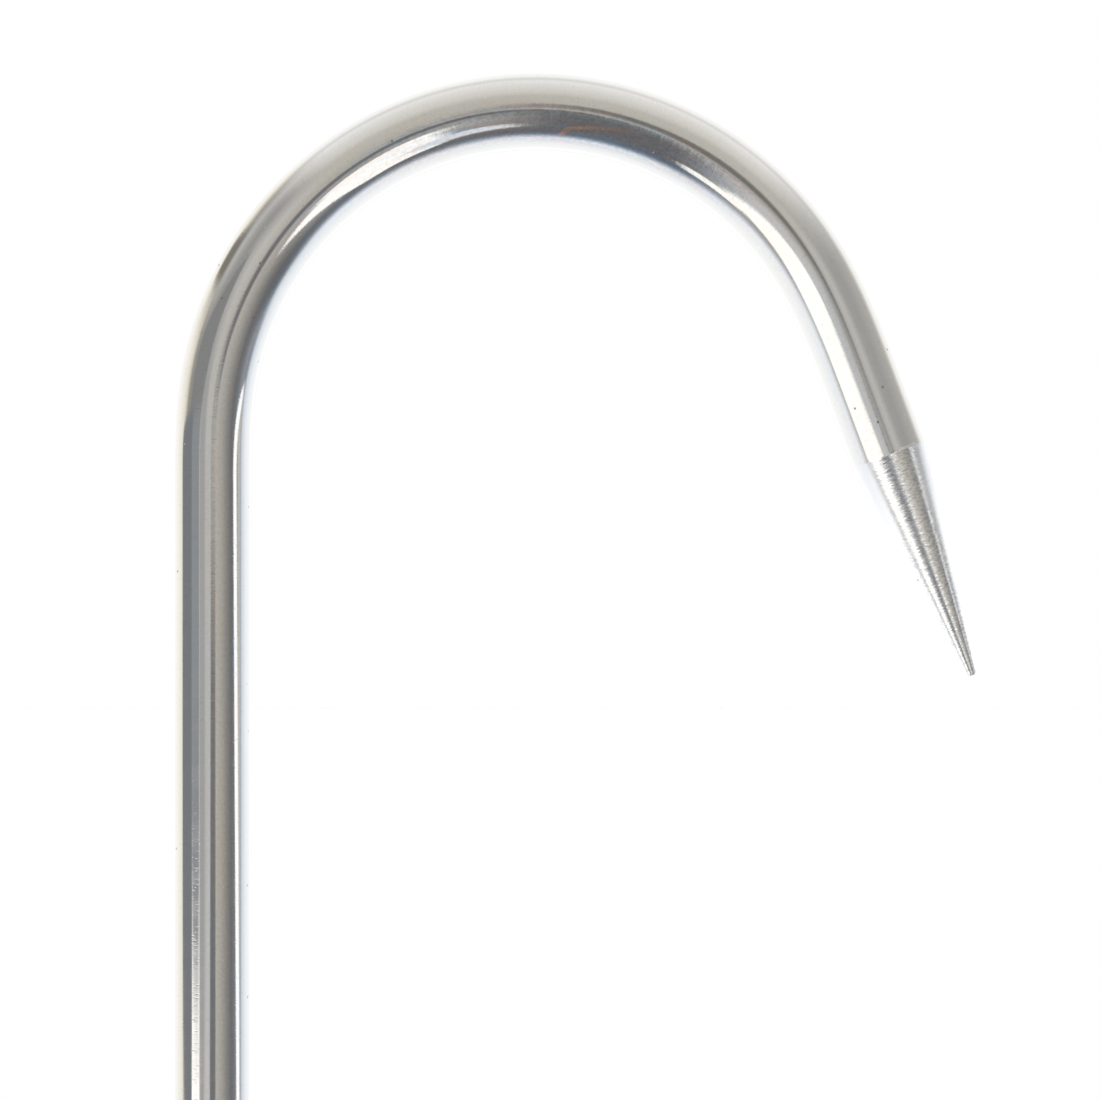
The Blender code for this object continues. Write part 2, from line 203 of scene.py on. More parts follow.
# The studio's walls round the hook, in degrees off the line of sight: 0 is back at the camera, 90 level
# with the hook, 180 behind it.  Each stop is angle, brightness and colour cast.
BEHIND = ((164, 1.52, 0.0), (180, 0.55, 0.0))
OVERHEAD = (
    (0, 0.62, -0.04), (20, 0.72, -0.055), (30, 0.74, -0.055), (40, 0.76, -0.05), (54, 0.96, -0.045),
    (75, 1.12, -0.024), (92, 1.28, -0.014), (102, 1.08, -0.014), (116, 1.44, -0.015), (130, 1.48, 0.0),
    *BEHIND,
)
UPPER_LEFT = (
    (0, 0.70, -0.04), (20, 0.78, -0.04), (34, 0.64, -0.02), (50, 0.46, -0.015), (62, 0.54, -0.03),
    (76, 0.74, -0.012), (88, 0.58, -0.015), (96, 0.52, -0.07), (104, 0.86, -0.09), (116, 1.36, -0.05),
    (130, 1.44, -0.015), *BEHIND,
)
LEFT_SIDE = (
    (0, 0.76, -0.03), (14, 0.75, -0.03), (28, 0.56, 0.0), (48, 0.30, 0.03), (62, 0.36, 0.0),
    (80, 0.48, -0.06), (88, 1.0, -0.09), (98, 1.25, -0.06), (116, 1.42, -0.03), *BEHIND,
)
LOWER_LEFT = (
    (0, 0.76, 0.0), (12, 0.85, 0.0), (58, 0.90, 0.0), (67, 0.58, 0.0), (73, 0.72, 0.02), (80, 1.15, 0.03),
    (87, 1.42, 0.01), (116, 1.48, 0.0), *BEHIND,
)
UNDERNEATH = (
    (0, 0.40, 0.0), (6, 0.28, 0.03), (14, 0.24, 0.04), (50, 0.235, 0.07), (70, 0.26, 0.11), (77, 0.40, 0.14),
    (84, 0.90, 0.09), (90, 1.30, 0.05), (116, 1.46, 0.01), *BEHIND,
)
LOWER_RIGHT = (
    (0, 0.50, 0.0), (12, 0.54, 0.0), (24, 0.62, -0.01), (48, 0.50, 0.0), (61, 0.27, 0.03), (70, 0.27, 0.09),
    (77, 0.44, 0.12), (84, 0.95, 0.06), (91, 1.40, 0.04), (116, 1.46, 0.01), *BEHIND,
)
RIGHT_SIDE = (
    (0, 0.70, -0.04), (15, 0.68, -0.05), (30, 0.54, -0.05), (46, 0.34, -0.03), (62, 0.23, 0.03),
    (76, 0.25, 0.11), (84, 0.42, 0.08), (90, 0.95, 0.08), (98, 1.30, 0.04), (116, 1.42, 0.02), *BEHIND,
)
RIGHT_EDGE = (
    (0, 0.72, -0.05), (15, 0.68, -0.06), (30, 0.58, -0.06), (46, 0.38, -0.04), (60, 0.25, 0.0),
    (70, 0.30, 0.07), (80, 0.46, 0.06), (91, 0.44, 0.02), (100, 1.12, 0.07), (118, 1.40, 0.02), *BEHIND,
)
UPPER_RIGHT = (
    (0, 0.56, -0.02), (26, 0.76, -0.03), (42, 0.54, -0.02), (60, 0.52, -0.02), (98, 0.66, -0.035),
    (106, 0.90, -0.035), (116, 1.38, -0.02), (130, 1.44, -0.005), *BEHIND,
)
# Bearing goes round the line of sight: 0 is straight down, 90 towards +X, -90 towards -X.  Each wall
# takes over from the one before between two bearings.
STUDIO_WALLS = (
    (UPPER_LEFT, -146, -130),
    (LEFT_SIDE, -124, -102),
    (LOWER_LEFT, -78, -70),
    (UNDERNEATH, -48, -26),
    (LOWER_RIGHT, -8, 14),
    (RIGHT_SIDE, 42, 58),
    (RIGHT_EDGE, 60, 76),
    (UPPER_RIGHT, 92, 110),
    (OVERHEAD, 118, 144),
)
# Panels of light and dark before the walls, on a flat map in degrees off the line of sight: centre across
# and down, half length and width, turn from straight down, softness of the edge, level and cast.
STUDIO_PANELS = (
    (22.6, 37.5, 20, 10.8, 15, 0.10, 1.75, -0.03),
    (12.2, 20.5, 5.5, 5.5, 20, 0.20, 1.70, -0.02),
    (12.0, 47, 6.5, 9, -10, 0.30, 1.25, 0.0),
    (-42.8, 17.4, 22.5, 20.3, -25.5, 0.10, 1.75, -0.03),
    (-35, 46, 7, 7.5, -35, 0.25, 1.70, -0.03),
    (-50, -12.5, 19, 11.5, 90, 0.08, 0.36, 0.0),
    (-76, 1, 18, 7.5, 90, 0.12, 0.31, 0.04),
    (-47, 0, 12.5, 4.7, 90, 0.15, 0.43, 0.04),
    (-27, 1, 8, 6.5, 90, 0.30, 0.56, -0.01),
    (5.5, 3.6, 3.5, 7.0, 0, 0.35, 0.27, 0.0),
    (88, 1, 8, 5, 0, 0.40, 0.76, -0.05),
    (76.5, 1.5, 16, 3.4, 54, 0.25, 1.75, 0.0),
    (-84, -50, 8, 14, -30, 0.45, 0.30, -0.08),
    (6, -10, 6.2, 6.2, 0, 0.50, 0.27, -0.04),
)


def studio_wall(tree, off_axis, stops):
    ramp = tree.nodes.new("ShaderNodeValToRGB")
    plug(tree, ramp.inputs[0], maths(tree, "DIVIDE", off_axis, 180.0))
    elements = ramp.color_ramp.elements
    while len(elements) < len(stops):
        elements.new(0.5)
    for element, (angle, level, cast) in zip(elements, stops):
        element.position = angle / 180.0
        element.color = tone(level, cast)
    return ramp.outputs[0]


def make_world():
    """The walls by bearing, the panels before them, and a plain backdrop for the camera alone."""
    world = bpy.data.worlds.new("studio")
    scene.world = world
    world.use_nodes = True
    tree = world.node_tree
    tree.nodes.clear()
    x, y, z = split_xyz(tree, tree.nodes.new("ShaderNodeTexCoord").outputs["Generated"])
    off_axis = maths(tree, "DEGREES", maths(tree, "ARCCOSINE", times(tree, y, -1.0)))
    bearing = maths(tree, "ARCTAN2", x, times(tree, z, -1.0))
    across = times(tree, off_axis, maths(tree, "SINE", bearing))
    down = times(tree, off_axis, maths(tree, "COSINE", bearing))
    bearing = maths(tree, "DEGREES", bearing)
    colour = studio_wall(tree, off_axis, OVERHEAD)
    for stops, start, end in STUDIO_WALLS:
        share = smooth_range(tree, bearing, float(start), float(end))
        colour = mix_colour(tree, share, colour, studio_wall(tree, off_axis, stops))
    panel = light_panel_group()
    for *shape, level, cast in STUDIO_PANELS:
        colour = mix_colour(tree, effect(tree, panel, across, down, *shape), colour, tone(level, cast))
    path = tree.nodes.new("ShaderNodeLightPath")
    colour = mix_colour(tree, path.outputs["Is Camera Ray"], colour, BACKDROP)
    background = tree.nodes.new("ShaderNodeBackground")
    plug(tree, background.inputs["Color"], colour)
    output = tree.nodes.new("ShaderNodeOutputWorld")
    plug(tree, output.inputs["Surface"], background.outputs[0])


def make_floor():
    """A wide pale floor, left open to a look from below."""
    shape = bmesh.new()
    bmesh.ops.create_grid(shape, x_segments=1, y_segments=1, size=FLOOR_SIZE / 2)
    bmesh.ops.translate(shape, verts=shape.verts, vec=(0.0, 0.0, cad_low.z - FLOOR_DROP))
    mesh = bpy.data.meshes.new("floor")
    shape.to_mesh(mesh)
    shape.free()
    floor = bpy.data.objects.new("floor", mesh)
    scene.collection.objects.link(floor)
    floor.visible_glossy = False
    made = bpy.data.materials.new("pale floor")
    made.use_nodes = True
    tree = made.node_tree
    shader = tree.nodes["Principled BSDF"]
    shader.inputs["Base Color"].default_value = FLOOR_COLOUR
    shader.inputs["Roughness"].default_value = FLOOR_ROUGHNESS
    from_below = tree.nodes.new("ShaderNodeNewGeometry").outputs["Backfacing"]
    plug(tree, shader.inputs["Alpha"], maths(tree, "SUBTRACT", 1.0, from_below))
    mesh.materials.append(made)
    floor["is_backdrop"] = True


make_camera()
make_world()
make_floor()
scene.view_settings.view_transform = "Standard"
scene.view_settings.look = "None"

# ---------------------------------------------------------------- hook rod
# One length of 6 mm stainless bar, drawn bright, bent over a former and polished, its point ground
# across the bar on a coarse belt.  The lower end runs down through the collar and grip into the nut.

BEND_RADIUS = 0.0245
BEND_ANGLE = math.radians(159.5)
LEAD_IN = 0.0076
LEAD_OUT = 0.0106
LEG_LENGTH = 0.0058
POINT_LENGTH = 0.0180
TIP_RADIUS = 0.0004
TIP_ROUND = 0.00015
TIP_STEPS = ((0.45, 0.86), (0.0, 0.6))
END_CHAMFER = 0.0008
PIN_RADIUS = 0.001
FIT_GAP = 0.0003
PIN_HOLE_RADIUS = PIN_RADIUS + FIT_GAP
MM = 1000.0
ROD_SIDES = 128
BEND_STATIONS = 160
POINT_RINGS = 200
GRINDING_DEPTH = 0.000004
ROD_STEEL = (0.612, 0.612, 0.606, 1.0)
COPPER_TINT = (0.90, 0.50, 0.32, 1.0)
SPECK_TINT = (0.93, 0.93, 0.92, 1.0)
BLUE_TINT = (0.47, 0.545, 0.66, 1.0)
BROWN_TINT = (0.66, 0.51, 0.47, 1.0)
DARK_TINT = (0.44, 0.45, 0.43, 1.0)
GROUND_DULL = (0.60, 0.61, 0.63, 1.0)
# Painted sheen for the ground point's middle, and painted shade for its rims.
GROUND_PAINTED_SHEEN = (0.82, 0.81, 0.80, 1.0)
GROUND_PAINTED_RIM_SHADE = (0.64, 0.645, 0.665, 1.0)
SMEAR_ANGLE = 27.0
PIT_TINT = (0.16, 0.15, 0.15, 1.0)
# Painted shade: a near-black colour laid into gaps, bores and slots, and how fully it covers them.
PAINTED_SHADE_COLOUR = (0.030, 0.027, 0.024, 1.0)
PAINTED_SHADE_COVER = 0.94

pin_low, pin_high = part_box("bolster_pin")
PIN_HEIGHT = (pin_low.z + pin_high.z) / 2


def bend_arc_length():
    return BEND_RADIUS * BEND_ANGLE - (LEAD_IN + LEAD_OUT) / 2


def turned_by(distance):
    """Angle that the rod has turned, from straight up towards +X, this far into the bend."""
    if distance < LEAD_IN:
        return distance**2 / (2 * BEND_RADIUS * LEAD_IN)
    past_lead_in = distance - LEAD_IN
    angle = (LEAD_IN / 2 + min(past_lead_in, bend_arc_length())) / BEND_RADIUS
    past_arc = min(max(past_lead_in - bend_arc_length(), 0.0), LEAD_OUT)
    return angle + (past_arc - past_arc**2 / (2 * LEAD_OUT)) / BEND_RADIUS


def direction(angle):
    return Vector((math.sin(angle), 0.0, math.cos(angle)))


def bend_stations(substeps=8):
    """(distance, centre, angle turned) along the bend, from its start at the origin."""
    step = (LEAD_IN + bend_arc_length() + LEAD_OUT) / (BEND_STATIONS * substeps)
    point = Vector((0.0, 0.0, 0.0))
    stations = [(0.0, point.copy(), 0.0)]
    for index in range(BEND_STATIONS * substeps):
        point += step * direction(turned_by((index + 0.5) * step))
        if (index + 1) % substeps == 0:
            distance = (index + 1) * step
            stations.append((distance, point.copy(), turned_by(distance)))
    return stations


def rod_rings():
    """(distance from the bend's start, centre, angle, radius) from foot to tip, and where the point starts."""
    stations = bend_stations()
    crest_height = max(point.z for _, point, _ in stations)
    start = Vector((SHANK_X, 0.0, ROD_RADIUS - crest_height))
    foot = rod_low.z - start.z
    pin = PIN_HEIGHT - start.z
    shank = [(foot, ROD_RADIUS - END_CHAMFER), (foot + END_CHAMFER, ROD_RADIUS)]
    shank += [(pin + side * 2 * PIN_RADIUS, ROD_RADIUS) for side in (-1, 1)]
    rings = [(distance, start + Vector((0, 0, distance)), 0.0, radius) for distance, radius in shank]
    rings += [(distance, start + point, angle, ROD_RADIUS) for distance, point, angle in stations]
    distance, end, angle = stations[-1]
    end = start + end
    along = direction(angle)
    rings.append((distance + LEG_LENGTH, end + LEG_LENGTH * along, angle, ROD_RADIUS))
    scratch = random.Random(7)
    for index in range(1, POINT_RINGS + 1):
        share = index / POINT_RINGS
        past = LEG_LENGTH + (POINT_LENGTH - TIP_ROUND) * share
        radius = ROD_RADIUS + (TIP_RADIUS - ROD_RADIUS) * share - GRINDING_DEPTH * scratch.random()
        rings.append((distance + past, end + past * along, angle, radius))
    past = LEG_LENGTH + POINT_LENGTH
    for back, share in TIP_STEPS:
        gone = past - back * TIP_ROUND
        rings.append((distance + gone, end + gone * along, angle, TIP_RADIUS * share))
    return rings, distance + LEG_LENGTH


def loft_rod(rings):
    """Bridges circles set square to the rod, and keeps each point's place on the straight bar."""
    shape = bmesh.new()
    straight = shape.verts.layers.float_vector.new("straight")
    below = None
    for distance, centre, angle, radius in rings:
        circle = bmesh.ops.create_circle(shape, cap_ends=False, segments=ROD_SIDES, radius=radius)["verts"]
        for vertex in circle:
            vertex[straight] = Vector((vertex.co.x, vertex.co.y, distance))
        stand = Matrix.Translation(centre) @ Matrix.Rotation(angle, 4, "Y")
        bmesh.ops.transform(shape, matrix=stand, verts=circle)
        edges = list({edge for vertex in circle for edge in vertex.link_edges})
        if below is not None:
            bmesh.ops.bridge_loops(shape, edges=below + edges)
        below = edges
    bmesh.ops.holes_fill(shape, edges=shape.edges[:], sides=0)
    bmesh.ops.recalc_face_normals(shape, faces=shape.faces)
    return shape


def turned(profile, sides=160):
    """Spins a closed profile, or one that starts and ends on the axis, full circle about Z."""
    shape = bmesh.new()
    points = [shape.verts.new((radius, 0.0, height)) for radius, height in profile]
    edges = [shape.edges.new(pair) for pair in zip(points, points[1:])]
    if profile[0][0] > 0:
        edges.append(shape.edges.new((points[-1], points[0])))
    bmesh.ops.spin(
        shape, geom=points + edges, cent=(0, 0, 0), axis=(0, 0, 1), angle=math.tau, steps=sides, use_merge=True
    )
    bmesh.ops.remove_doubles(shape, verts=shape.verts, dist=1e-7)
    bmesh.ops.recalc_face_normals(shape, faces=shape.faces)
    return shape


def arc(centre_r, centre_z, radius, start, end, steps=10):
    """Profile points (radius, height) round an arc, in degrees, both ends included."""
    angles = [math.radians(start + (end - start) * step / steps) for step in range(steps + 1)]
    return [(centre_r + radius * math.cos(a), centre_z + radius * math.sin(a)) for a in angles]


def bar(radius, bottom, top, end_round=0.0, sides=96):
    """A round bar about Z, square at its ends or rounded over there."""
    if not end_round:
        return turned([(0.0, bottom), (radius, bottom), (radius, top), (0.0, top)], sides)
    profile = [(0.0, bottom), *arc(radius - end_round, bottom + end_round, end_round, -90, 0, 6)]
    profile += [*arc(radius - end_round, top - end_round, end_round, 0, 90, 6), (0.0, top)]
    return turned(profile, sides)


def moved(shape, place, turn=None):
    """Puts a shape made about the origin in its place in the object."""
    if turn is not None:
        bmesh.ops.transform(shape, matrix=turn, verts=shape.verts)
    bmesh.ops.translate(shape, verts=shape.verts, vec=place)
    return shape


def plain_object(name, shape):
    mesh = bpy.data.meshes.new(name)
    shape.to_mesh(mesh)
    shape.free()
    made = bpy.data.objects.new(name, mesh)
    scene.collection.objects.link(made)
    return made


def bored(shape, *tools):
    """Takes each tool's shape out of this one, and gives back what is left."""
    target = plain_object("blank", shape)
    cutters = [plain_object("tool", tool) for tool in tools]
    for cutter in cutters:
        cut = target.modifiers.new("bore", "BOOLEAN")
        cut.operation = "DIFFERENCE"
        cut.solver = "EXACT"
        cut.object = cutter
    bpy.context.view_layer.update()
    left = bmesh.new()
    left.from_mesh(target.evaluated_get(bpy.context.evaluated_depsgraph_get()).to_mesh())
    for used in (target, *cutters):
        bpy.data.objects.remove(used, do_unlink=True)
    return left


def finished(name, shape, material, node, sharp=30.0):
    """Makes the piece that stands for a CAD node; edges past the sharp angle, in degrees, stay crisp."""
    made = plain_object(name, shape)
    made.data.shade_smooth()
    made.data.set_sharp_from_angle(angle=math.radians(sharp))
    made.data.materials.append(material)
    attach(made, "root")
    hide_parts(node)


def new_material(name, **values):
    """A Principled material; gives back the material, its tree and its shader."""
    made = bpy.data.materials.new(name)
    made.use_nodes = True
    shader = made.node_tree.nodes["Principled BSDF"]
    for socket, value in values.items():
        shader.inputs[socket.replace("_", " ")].default_value = value
    return made, made.node_tree, shader


def joined_xyz(tree, *parts):
    joined = tree.nodes.new("ShaderNodeCombineXYZ")
    for socket, part in zip(joined.inputs, parts):
        plug(tree, socket, part)
    return joined.outputs[0]


def stretched(tree, vector, factors):
    node = tree.nodes.new("ShaderNodeVectorMath")
    node.operation = "MULTIPLY"
    plug(tree, node.inputs[0], vector)
    plug(tree, node.inputs[1], factors)
    return node.outputs[0]


def soft_noise(tree, vector):
    node = tree.nodes.new("ShaderNodeTexNoise")
    node.inputs["Scale"].default_value = 1.0
    node.inputs["Detail"].default_value = 2.0
    plug(tree, node.inputs["Vector"], vector)
    return node.outputs[0]


def stretched_noise_group():
    """Noise drawn out along or across the coordinates' Z, cut off softly between Low and High."""
    tree, value, result = new_group("stretched marks", ("Vector", "Across", "Along", "Low", "High"), "Mask")
    factors = joined_xyz(tree, value["Across"], value["Across"], value["Along"])
    noise = soft_noise(tree, stretched(tree, value["Vector"], factors))
    plug(tree, result, smooth_range(tree, noise, value["Low"], value["High"]))
    return tree


def pit_group():
    """Small round pits, one to a cell, of which a share is kept."""
    tree, value, result = new_group("pits", ("Vector", "Cells", "Size", "Share"), "Mask")
    cells = tree.nodes.new("ShaderNodeTexVoronoi")
    plug(tree, cells.inputs["Vector"], value["Vector"])
    plug(tree, cells.inputs["Scale"], value["Cells"])
    kept = maths(tree, "LESS_THAN", split_xyz(tree, cells.outputs["Color"])[0], value["Share"])
    pit = fade_out(tree, cells.outputs["Distance"], times(tree, value["Size"], 0.5), value["Size"])
    plug(tree, result, times(tree, kept, pit))
    return tree


STRETCHED_MARKS = stretched_noise_group()
PITS = pit_group()


def in_millimetres(tree, vector):
    scaled = tree.nodes.new("ShaderNodeVectorMath")
    scaled.operation = "SCALE"
    plug(tree, scaled.inputs[0], vector)
    scaled.inputs["Scale"].default_value = MM
    return scaled.outputs[0]


def plus(tree, total, *others):
    for other in others:
        total = maths(tree, "ADD", total, other)
    return total


def off_by(tree, value, centre):
    return maths(tree, "ABSOLUTE", maths(tree, "SUBTRACT", value, centre))


def raised(tree, shader, *layers):
    """Bumps the shader by the sum of (mask, height in millimetres)."""
    bump = tree.nodes.new("ShaderNodeBump")
    bump.inputs["Strength"].default_value = 1.0
    bump.inputs["Distance"].default_value = 1 / MM
    plug(tree, bump.inputs["Height"], plus(tree, *(times(tree, mask, height) for mask, height in layers)))
    plug(tree, shader.inputs["Normal"], bump.outputs[0])


def copper_smear(tree, angle, z):
    """Under the crest, in degrees and millimetres: a streak that winds off along the bar, and a line across it."""
    winding = maths(tree, "SUBTRACT", SMEAR_ANGLE, times(tree, maths(tree, "SUBTRACT", z, 45.3), 3.0))
    streak = fade_out(tree, off_by(tree, angle, winding), 1.4, 4.6)
    streak = times(tree, streak, smooth_range(tree, z, 44.6, 45.2), fade_out(tree, z, 46.0, 52.0))
    slanting = maths(tree, "SUBTRACT", 45.1, times(tree, maths(tree, "SUBTRACT", angle, SMEAR_ANGLE), 0.055))
    line = fade_out(tree, off_by(tree, z, slanting), 0.16, 0.50)
    line = times(tree, line, smooth_range(tree, angle, 24.0, 27.0), fade_out(tree, angle, 38.0, 44.0))
    return maths(tree, "MAXIMUM", streak, line)


def stained_steel(tree, place, swapped, bend, ticks):
    """Blue, brown and dark stains, strongest on the bend's front and back, and tarnish in the rubbed ticks."""
    x, y, _ = split_xyz(tree, place)
    to_the_side = maths(tree, "ABSOLUTE", y)
    stained = times(
        tree,
        smooth_range(tree, to_the_side, 1.3, 2.4),
        smooth_range(tree, bend, 0.0, 1.0, 0.3, 1.0),
        smooth_range(tree, x, -1.0, 0.6, 0.12, 1.0),
    )
    layers = (
        (effect(tree, STRETCHED_MARKS, place, 1.9, 0.09, 0.40, 0.62), stained, 0.7, BLUE_TINT),
        (effect(tree, STRETCHED_MARKS, swapped, 2.6, 0.13, 0.42, 0.62), stained, 0.6, BROWN_TINT),
        (effect(tree, STRETCHED_MARKS, place, 5.5, 3.2, 0.35, 0.72), stained, 0.75, DARK_TINT),
        (ticks, smooth_range(tree, to_the_side, 0.9, 2.2), 0.30, DARK_TINT),
    )
    colour = ROD_STEEL
    for marks, where, strength, tint in layers:
        colour = mix_colour(tree, times(tree, marks, where, strength), colour, tint)
    return colour


def painted_sheen_ground_steel(tree, place, x):
    """Ground steel with dull lines across its middle, and a painted sheen that makes the middle bright, with
    painted shade greyer towards its rims.
    """
    off_middle = maths(tree, "ABSOLUTE", x)
    lines = effect(tree, STRETCHED_MARKS, place, 3.0, 9.0, 0.35, 0.72)
    lines = smooth_range(tree, times(tree, lines, fade_out(tree, off_middle, 0.9, 2.2)), 0.0, 1.0)
    colour = mix_colour(tree, smooth_range(tree, off_middle, 1.2, 2.4), GROUND_PAINTED_SHEEN, GROUND_PAINTED_RIM_SHADE)
    return mix_colour(tree, lines, colour, GROUND_DULL)


def rod_material(point_base, socket_top):
    """Drawn, polished, stained and ground steel, worked out in millimetres on the bar before it is bent."""
    made, tree, shader = new_material("polished rod steel", Base_Color=ROD_STEEL, Metallic=1.0, Roughness=0.06)
    straight = tree.nodes.new("ShaderNodeAttribute")
    straight.attribute_name = "straight"
    place = in_millimetres(tree, straight.outputs["Vector"])
    x, y, z = split_xyz(tree, place)
    swapped = joined_xyz(tree, maths(tree, "ADD", y, 7.0), x, z)
    leaning = joined_xyz(tree, x, y, maths(tree, "ADD", z, times(tree, x, 0.12)))
    angle = maths(tree, "DEGREES", maths(tree, "ARCTAN2", x, times(tree, y, -1.0)))
    bend = times(tree, smooth_range(tree, z, 20.0, 36.0), fade_out(tree, z, 52.0, 66.0))
    ragged = effect(tree, STRETCHED_MARKS, place, 0.9, 0.6, 0.25, 0.75)
    point_start = maths(tree, "ADD", times(tree, ragged, 0.35), point_base * MM - 0.32)
    ground = smooth_range(tree, maths(tree, "SUBTRACT", z, point_start), -0.04, 0.06)
    polished = maths(tree, "SUBTRACT", 1.0, ground)
    # Painted shade on the rod where it runs down into the collar's bore.
    socket_shade = fade_out(tree, z, socket_top * MM - 0.5, socket_top * MM + 0.1)

    draw_lines = effect(tree, STRETCHED_MARKS, place, 14.0, 0.25, 0.35, 0.70)
    ticks = effect(tree, STRETCHED_MARKS, place, 2.0, 6.5, 0.50, 0.85)
    waves = effect(tree, STRETCHED_MARKS, place, 0.35, 0.9, 0.30, 0.70)
    scratches = effect(tree, STRETCHED_MARKS, place, 1.5, 4.2, 0.30, 0.80)
    cross_scratches = effect(tree, STRETCHED_MARKS, leaning, 2.4, 9.0, 0.35, 0.80)
    pits = effect(tree, PITS, place, 0.75, 0.09, 0.16)
    specks = effect(tree, PITS, swapped, 1.7, 0.10, 0.22)
    smear = times(tree, copper_smear(tree, angle, z), smooth_range(tree, ticks, 0.0, 0.6, 0.6, 1.0))

    colour = stained_steel(tree, place, swapped, bend, ticks)
    colour = mix_colour(tree, times(tree, specks, 0.55), colour, SPECK_TINT)
    # The ground point takes a painted sheen across its middle and painted shade at its rims.
    colour = mix_colour(tree, ground, colour, painted_sheen_ground_steel(tree, place, x))
    colour = mix_colour(tree, smear, colour, COPPER_TINT)
    colour = mix_colour(tree, times(tree, pits, 0.7), colour, PIT_TINT)
    colour = mix_colour(tree, times(tree, socket_shade, PAINTED_SHADE_COVER), colour, PAINTED_SHADE_COLOUR)
    plug(tree, shader.inputs["Base Color"], colour)

    rougher = ((ground, 0.16), (smear, 0.30), (specks, 0.25), (pits, 0.30))
    rough = smooth_range(tree, waves, 0.0, 1.0, 0.045, 0.085)
    rough = plus(tree, rough, *(times(tree, mask, amount) for mask, amount in rougher))
    plug(tree, shader.inputs["Roughness"], rough)
    raised(
        tree,
        shader,
        (draw_lines, 0.00012),
        (times(tree, ticks, polished), -0.0009),
        (times(tree, waves, bend), 0.0016),
        (pits, -0.004),
        (times(tree, scratches, ground), 0.0045),
        (times(tree, cross_scratches, ground), 0.0030),
    )
    return made


rings, point_base = rod_rings()
ALONG_Y = Matrix.Rotation(math.pi / 2, 4, "X")
PIN_PLACE = Vector((SHANK_X, 0.0, PIN_HEIGHT))
pin_hole = moved(bar(PIN_HOLE_RADIUS, -2 * ROD_RADIUS, 2 * ROD_RADIUS, sides=48), PIN_PLACE, ALONG_Y)
finished(
    "hook_rod_polished",
    bored(loft_rod(rings), pin_hole),
    rod_material(point_base, rings[0][0] + collar_high.z - rod_low.z),
    "hook_rod",
    sharp=8.0,
)

# ---------------------------------------------------------------- bolster collar
# A collar turned from stainless bar, left satin from the lathe, that slides up the rod and takes the
# push of the shank on its flange.  A cross pin through its neck fixes it to the rod.

COLLAR_FOOT = collar_low.z
COLLAR_HEIGHT = collar_high.z - collar_low.z
FLANGE_RADIUS = (collar_high.x - collar_low.x) / 2
BORE_RADIUS = ROD_RADIUS + FIT_GAP
COLLAR_TOP_RADIUS = 0.0050
COLLAR_NECK_RADIUS = 0.0063
FLANGE_THICKNESS = 0.0024
COLLAR_TOP_ROUND = 0.0007
COLLAR_FOOT_ROUND = 0.0016
FLANGE_ROUND = 0.0006
BORE_CHAMFER = 0.00015
NECK_STEPS = 60
TURNING_DEPTH = 0.0000025
OVERCUT = 0.002
SATIN_STEEL = (0.56, 0.56, 0.555, 1.0)
SATIN_DULL = (0.4032, 0.4032, 0.3996, 1.0)

dowel_low, dowel_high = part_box("index_dowel")
DOWEL_X = (dowel_low.x + dowel_high.x) / 2
DOWEL_RADIUS = (dowel_high.x - dowel_low.x) / 2
DOWEL_HOLE_RADIUS = DOWEL_RADIUS + FIT_GAP


def collar_profile():
    """Bore, rounded lip, tapered neck with fine tool marks, foot fillet, flange with a rounded edge."""
    neck_foot = FLANGE_THICKNESS + COLLAR_FOOT_ROUND
    share = COLLAR_FOOT_ROUND / (COLLAR_HEIGHT - FLANGE_THICKNESS)
    fillet_radius = COLLAR_NECK_RADIUS + (COLLAR_TOP_RADIUS - COLLAR_NECK_RADIUS) * share
    profile = [(BORE_RADIUS, BORE_CHAMFER), (BORE_RADIUS, COLLAR_HEIGHT - BORE_CHAMFER)]
    profile.append((BORE_RADIUS + BORE_CHAMFER, COLLAR_HEIGHT))
    lip = arc(COLLAR_TOP_RADIUS - COLLAR_TOP_ROUND, COLLAR_HEIGHT - COLLAR_TOP_ROUND, COLLAR_TOP_ROUND, 90, 0)
    profile += lip
    marks = random.Random(3)
    neck_top = lip[-1][1]
    for step in range(1, NECK_STEPS):
        height = neck_top + (neck_foot - neck_top) * step / NECK_STEPS
        radius = COLLAR_TOP_RADIUS + (fillet_radius - COLLAR_TOP_RADIUS) * step / NECK_STEPS
        profile.append((radius - TURNING_DEPTH * marks.random(), height))
    profile += arc(fillet_radius + COLLAR_FOOT_ROUND, neck_foot, COLLAR_FOOT_ROUND, 180, 270)
    profile += arc(FLANGE_RADIUS - FLANGE_ROUND, FLANGE_THICKNESS - FLANGE_ROUND, FLANGE_ROUND, 90, 0)
    profile += [(FLANGE_RADIUS, BORE_CHAMFER), (FLANGE_RADIUS - BORE_CHAMFER, 0.0)]
    profile.append((BORE_RADIUS + BORE_CHAMFER, 0.0))
    return profile


def object_place(tree):
    """The object's own coordinates, in millimetres."""
    return in_millimetres(tree, tree.nodes.new("ShaderNodeTexCoord").outputs["Object"])


def distance_out(tree, first, second):
    return maths(tree, "SQRT", maths(tree, "ADD", times(tree, first, first), times(tree, second, second)))


